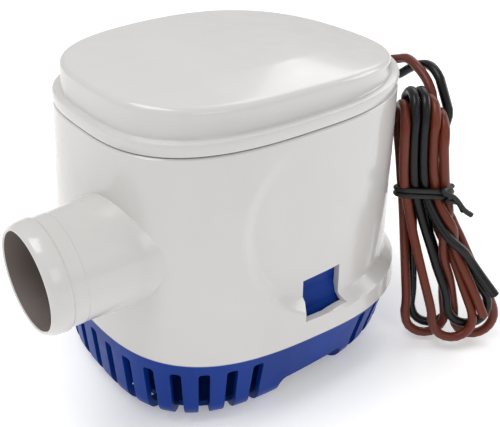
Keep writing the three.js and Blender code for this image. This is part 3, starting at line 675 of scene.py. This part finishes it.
def bore_cutter():
    """The outlet's bore, with a chamfered mouth, from outside the mouth to inside the chamber."""
    outside, inside = NOZZLE_X - 1, NOZZLE_END_X + 3.2
    outline = [
        (outside, ON_AXIS), (outside, NOZZLE_BORE + 1.3), (NOZZLE_X + 0.3, NOZZLE_BORE),
        (inside, NOZZLE_BORE), (inside, ON_AXIS),
    ]
    return turned("bore", outline, NOZZLE_Y, NOZZLE_Z, WHITE)


def socket_cutter():
    """The hole in the tail wall that the cable gland sits in."""
    low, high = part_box("cable_gland")
    outline = [(40, ON_AXIS), (40, GLAND_HOLE), (60, GLAND_HOLE), (60, ON_AXIS)]
    return turned("socket", outline, (low.y + high.y) / 2 / MM, (low.z + high.z) / 2 / MM, WHITE, 48)


def window_cutter(side):
    """The latch window's opening, which widens outward where the wall bulges below the recess."""
    left, right = LATCH_X - LATCH_WIDTH / 2, LATCH_X + LATCH_WIDTH / 2 - 0.7
    inside, floor, outside = 30, 41, 50  # distances from the middle plane
    spread_left, spread_right = 5.9, 4.4
    plan = [
        (left, inside), (left, floor), (left - spread_left, outside),
        (right + spread_right, outside), (right, floor), (right, inside),
    ]
    count = len(plan)
    fall = 1.3 / LATCH_WIDTH  # the lower edge drops towards the tail
    points = [(x, side * y, LATCH_LOW - fall * (x - left)) for x, y in plan]
    points += [(x, side * y, LATCH_HIGH) for x, y in plan]
    faces = [tuple(range(count)), tuple(range(count, 2 * count))]
    faces += [(i, (i + 1) % count, (i + 1) % count + count, i + count) for i in range(count)]
    return mesh_object("window", points, faces, WHITE)


def wall_skin():
    """The bare wall, open above and below, with its skirt's and seam's edges rounded."""
    top = GAP / (SEAM_Z - SKIRT_Z)
    fractions = np.concatenate([
        np.linspace(1, 0.7, 54),
        np.linspace(0.69, 0.35, 40),
        np.linspace(0.34, top, 24),
    ])
    edge = 0.35
    outer = [wall_ring(f, 0) for f in fractions]
    low_edge, high_edge = wall_ring(1, edge), wall_ring(top, edge)
    low_edge[:, 2] -= edge * 0.6
    outer[0][:, 2] += edge
    outer[-1][:, 2] -= edge
    inner = [wall_ring(f, WALL) for f in fractions[::-3]]
    inner[-1][:, 2] -= edge * 0.6
    return skin("housing_shell", [low_edge, *outer, high_edge, *inner], WHITE, close=True)


def housing_shell():
    shell = wall_skin()
    combine(shell, [spigot_solid()], "UNION")
    windows = [window_cutter(side) for side in (-1, 1)]
    combine(shell, [bore_cutter(), socket_cutter(), *windows], "DIFFERENCE")
    paint_bore(shell)
    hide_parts("main_housing")
    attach(shell, PUMP)
    smooth(shell, 28)


def paint_bore(shell):
    """The outlet's inside takes a darker colour: painted shade standing in for the unlit bore."""
    shell.data.materials.append(PAINTED_BORE_SHADE)
    for face in shell.data.polygons:
        x, y, z = face.center / MM
        radius = math.hypot(y - NOZZLE_Y, z - NOZZLE_Z)
        # faces inside the bore take the painted shade
        if NOZZLE_X + 0.4 < x < NOZZLE_END_X - 0.8 and radius < NOZZLE_BORE + 0.15:
            face.material_index = 1


# ---- Cap ----
LID_NOSE_Z, LID_TAIL_Z, LID_FALL_X = 99.0, 93.4, -12.0
LID_CREASE_Y, LID_FACET, LID_DOME, LID_ROUND = -18.8, 1.2, 0.7, 1.7


def lid_height(x, y):
    """Height of the lid's top: a shallow dome that falls to the tail, with a bent facet along the front."""
    fall = np.clip((x - LID_FALL_X) / (CAP_LENGTH - LID_FALL_X), 0, 1)
    along = LID_NOSE_Z + (LID_TAIL_Z - LID_NOSE_Z) * fall * fall
    facet = np.clip((LID_CREASE_Y - y) / 18.0, 0, 1) * LID_FACET * np.clip((CAP_LENGTH - x) / 70, 0, 1)
    dome = LID_DOME * (1 - (x / 50) ** 2) * (1 - (y / 37) ** 2)
    return along + dome - facet


def cap_ring(inset, z):
    return plan_ring(CAP_LENGTH - inset, CAP_WIDTH - inset, z)


def cap_shell():
    """The rim's wall and ledge, then the lid's wall, its rounded edge and its top."""
    edge = 0.6
    rings = [
        cap_ring(6, SEAM_Z),
        cap_ring(edge, SEAM_Z),
        cap_ring(edge * 0.3, SEAM_Z + edge * 0.3),
        cap_ring(0, SEAM_Z + edge),
        cap_ring(0, RIM_TOP_Z - edge * 1.3),
        cap_ring(edge * 0.35, RIM_TOP_Z - edge * 0.4),
        cap_ring(edge * 1.2, RIM_TOP_Z),
        cap_ring(LID_INSET - 0.15, RIM_TOP_Z),
        cap_ring(LID_INSET + 0.15, RIM_TOP_Z + 0.4),
    ]
    side = LID_INSET + 0.3
    for part in (0, *np.linspace(0.2, 1, 7)):
        angle = part * math.pi / 2
        drop = LID_ROUND * (1 - math.sin(angle))
        inset = side + LID_ROUND * (1 - math.cos(angle))
        rings.append(cap_ring(inset, lambda x, y, d=drop: lid_height(x, y) - d))
    length, width = CAP_LENGTH - side - LID_ROUND, CAP_WIDTH - side - LID_ROUND
    for share in np.linspace(0.97, 0.03, 28):
        rings.append(plan_ring(length * share, width * share, lid_height))
    shell = skin("cap_shell", rings, WHITE)
    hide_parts("top_cap")
    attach(shell, PUMP)
    smooth(shell, 40)


# ---- Strainer ----
def bowl(name, inset):
    """The strainer's outer shape, or with an inset the hollow inside it, which runs out of the top."""
    radius = BASE_ROUND - inset
    rings = []
    for part in np.linspace(0, 1, 12):
        angle = part * math.pi / 2
        spread = BASE_ROUND - radius * math.sin(angle)
        height = BASE_ROUND - radius * math.cos(angle)
        rings.append(plan_ring(BASE_LENGTH - spread, BASE_WIDTH - spread, height))
    lift = 2 if inset > 0 else -GAP
    rings.append(plan_ring(BASE_TOP_LENGTH - inset, BASE_TOP_WIDTH - inset, lambda x, y: skirt_z(x) + lift))
    return skin(name, rings, BLUE)


def slot_cutter(place, turn):
    """One round-topped slot through the wall at a place, turned to stand square to it."""
    height = SLOT_TOP_Z + SLOT_SLOPE * place[0]
    half = SLOT_WIDTH / 2
    cutter = block("slot", (-SLOT_INWARD - 2, -half, -2), (2, half, height), BLUE)
    work = bmesh.new()
    work.from_mesh(cutter.data)
    tops = [
        e for e in work.edges
        if min(v.co.z for v in e.verts) > (height - 1) * MM
        and abs(e.verts[0].co.x - e.verts[1].co.x) > 5 * MM
    ]
    bmesh.ops.bevel(work, geom=tops, offset=1.0 * MM, segments=4, profile=0.5, affect="EDGES")
    bmesh.ops.rotate(work, cent=(0, 0, 0), matrix=Matrix.Rotation(turn, 3, "Z"), verts=work.verts)
    bmesh.ops.translate(work, vec=(place[0] * MM, place[1] * MM, 0), verts=work.verts)
    work.to_mesh(cutter.data)
    work.free()
    return cutter


def slot_cutters():
    """Slots square to the outline, a pitch apart, clear of the plain panels in front and behind."""
    x, y = plan_points(BASE_TOP_LENGTH, BASE_TOP_WIDTH, 1440)
    cutters = []
    travelled = SLOT_PITCH / 2
    for i in range(1, len(x) + 1):
        now = np.array([x[i % len(x)], y[i % len(x)]])
        before = np.array([x[i - 1], y[i - 1]])
        travelled += np.linalg.norm(now - before)
        if travelled < SLOT_PITCH:
            continue
        travelled -= SLOT_PITCH
        if abs(now[0] - ARCH_X) > ARCH_HALF + SLOT_WIDTH or abs(now[1]) < PANEL_Y:
            cutters.append(slot_cutter(now, math.atan2(*(now - before)[::-1]) - math.pi / 2))
    return cutters


def lip_solid():
    """The lip that stands up inside the housing's skirt."""
    outside = WALL + 0.9

    def ring(inset, z):
        return plan_ring(SKIRT_LENGTH - outside - inset, SKIRT_WIDTH - outside - inset, z)

    def top(x, _):
        return skirt_z(x) + 4

    return skin("lip", [ring(0, 20), ring(0.8, top), ring(2.8, top), ring(2, 20)], BLUE, close=True)


def side_block(name, side, centre_x, half, across, heights, bevel=0.0):
    """A block on the front (-1) or rear (1) side; across is its distance from the middle plane."""
    near, far = sorted(side * distance for distance in across)
    return block(name, (centre_x - half, near, heights[0]), (centre_x + half, far, heights[1]), BLUE, bevel)


def strainer_shell():
    """One slotted bowl with a lip, two arches in its foot and two slots for the latch tabs."""
    shell = bowl("strainer_shell", 0)
    combine(shell, [bowl("inside", WALL)], "DIFFERENCE")
    combine(shell, [lip_solid()], "UNION")
    cuts = []
    for side in (-1, 1):
        cuts.append(side_block("arch", side, ARCH_X, ARCH_HALF, (31.5, 60), (-3, ARCH_Z), 2.5))
        cuts.append(side_block("tab_slot", side, LATCH_X, LATCH_WIDTH / 2 + 0.4, (34, 42.7), (22, 40)))
    combine(shell, [*slot_cutters(), *cuts], "DIFFERENCE")
    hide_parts(*[name for name in frame["nodes"] if name.startswith("strainer_")])
    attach(shell, STRAINER)
    smooth(shell, 30)


# ---- CAD nodes that stay ----
def dress_cad_nodes():
    """Every CAD node takes its slot's finish; those still shown also get softly rounded edges."""
    slots = {row["node"]: row["material_slot"] for row in frame["record"]["subparts"]}
    for name, node in frame["nodes"].items():
        node.data.materials.clear()
        node.data.materials.append(SLOT_MATERIALS[slots[name]])
        if not node.hide_render:
            edge = node.modifiers.new("edge", "BEVEL")
            edge.width = 0.25 * MM
            edge.segments = 2
            edge.limit_method = "ANGLE"
            edge.angle_limit = math.radians(40)
            edge.harden_normals = False


# ---- Studio ----
LAMPS = (  # name, place in metres, side in metres, power in watts
    ("key", (-0.3, 0.1, 0.8), 0.45, 2.9),
    ("fill", (-0.1, -0.8, 0.5), 0.4, 0.7),
    ("side", (0.8, -0.3, 0.35), 0.4, 1.5),
    ("rim", (0.6, 0.3, 0.6), 0.5, 1.2),
)


def add_floor():
    """White paper, a hair below the object, a little brighter than its own reflected light."""
    bpy.ops.mesh.primitive_plane_add(size=3.0, location=(0, 0, -0.0002))
    floor = bpy.context.object
    floor.name = "floor"
    material, nodes, links, shader = new_material("floor_paper")
    grain = noise_node(nodes, links, 400.0, 3.0, 0.5)
    links.new(mapped(nodes, links, grain.outputs["Fac"], 0.75, 0.85), shader.inputs["Roughness"])
    shader.inputs["Base Color"].default_value = (0.97, 0.97, 0.97, 1)
    shader.inputs["Emission Color"].default_value = (1.0, 1.0, 1.0, 1)
    shader.inputs["Emission Strength"].default_value = 0.24
    floor.data.materials.append(material)


def add_light():
    world = bpy.data.worlds.new("studio")
    bpy.context.scene.world = world
    world.use_nodes = True
    background = world.node_tree.nodes["Background"]
    background.inputs["Color"].default_value = (1.0, 1.0, 1.0, 1)
    background.inputs["Strength"].default_value = 0.56
    for name, place, size, power in LAMPS:
        data = bpy.data.lights.new(name, "AREA")
        data.shape = "SQUARE"
        data.size = size
        data.energy = power
        lamp = bpy.data.objects.new(name, data)
        bpy.context.scene.collection.objects.link(lamp)
        lamp.location = place
        aim = Vector((0, 0, 0.05)) - lamp.location
        lamp.rotation_euler = aim.to_track_quat("-Z", "Y").to_euler()
    bpy.context.scene.view_settings.view_transform = "Standard"


make_camera()
add_cords()
add_tie()
housing_shell()
cap_shell()
strainer_shell()
dress_cad_nodes()
add_floor()
add_light()
